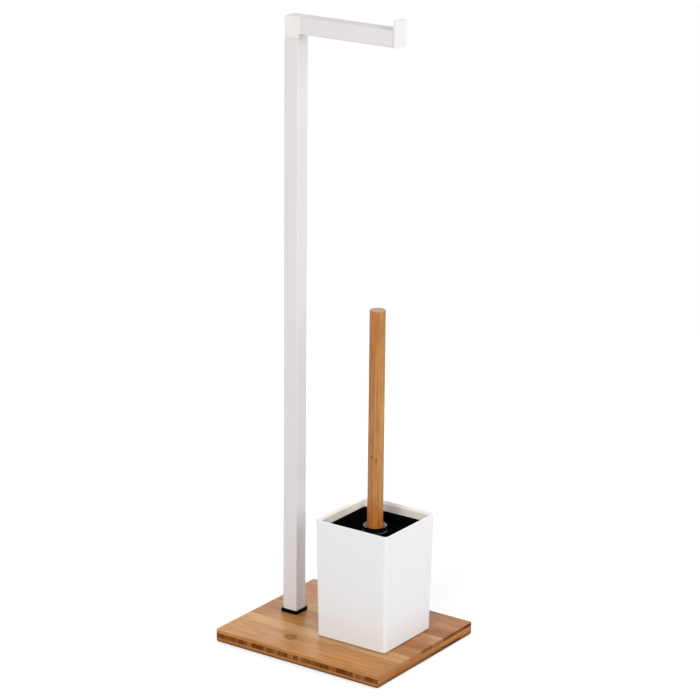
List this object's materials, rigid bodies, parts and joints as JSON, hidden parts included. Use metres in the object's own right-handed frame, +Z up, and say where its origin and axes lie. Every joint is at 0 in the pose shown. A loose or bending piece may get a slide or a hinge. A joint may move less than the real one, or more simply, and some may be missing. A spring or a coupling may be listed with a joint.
{
  "type": "toilet brush holder",
  "caption": "Free-standing set: rectangular bamboo board, square post with a side arm and stop plate for a paper roll, and a tapered square cup holding a brush with a round handle.",
  "frame": {"origin": "on the floor, under the middle of the board", "axes": "+Z up along the post, +X along the board's long side and along the arm towards its stop plate, +Y across the board"},
  "size_m": [0.224, 0.191, 0.722],
  "materials": {
    "bamboo": "clear lacquered",
    "bamboo_core": "carbonised, lacquered",
    "white_tube": "powder coat, satin",
    "white_moulding": "satin",
    "white_cup": "gloss",
    "black_moulding": "satin",
    "grey_moulding": "moulded",
    "zinc_steel": "zinc plated",
    "pad": "soft, matt",
    "bristle": "monofilament"
  },
  "bodies": {
    "stand": {"base_top_ply": "bamboo", "base_core_ply": "bamboo_core", "base_bottom_ply": "bamboo", "foot_pads": "pad", "post_shoe": "black_moulding", "post_plug": "grey_moulding", "plug_nut": "zinc_steel", "post_screw": "zinc_steel", "post_washer": "zinc_steel", "post_tube": "white_tube", "head_elbow": "white_moulding", "arm_tube": "white_tube", "end_plate": "white_moulding"},
    "cup": {"cup": "white_cup"},
    "brush": {"splash_lid": "black_moulding", "handle_socket": "black_moulding", "lid_ring_nut": "black_moulding", "handle": "bamboo", "handle_stud": "zinc_steel", "brush_neck": "black_moulding", "brush_core": "black_moulding", "side_tufts": "bristle", "end_tufts": "bristle"}
  },
  "joints": [
    {"name": "cup_lift", "type": "slide", "parent": "stand", "child": "cup", "axis": [0, 0, 1], "range_m": [0, 0.1]},
    {"name": "brush_lift", "type": "slide", "parent": "cup", "child": "brush", "axis": [0, 0, 1], "range_m": [0, 0.15]}
  ]
}
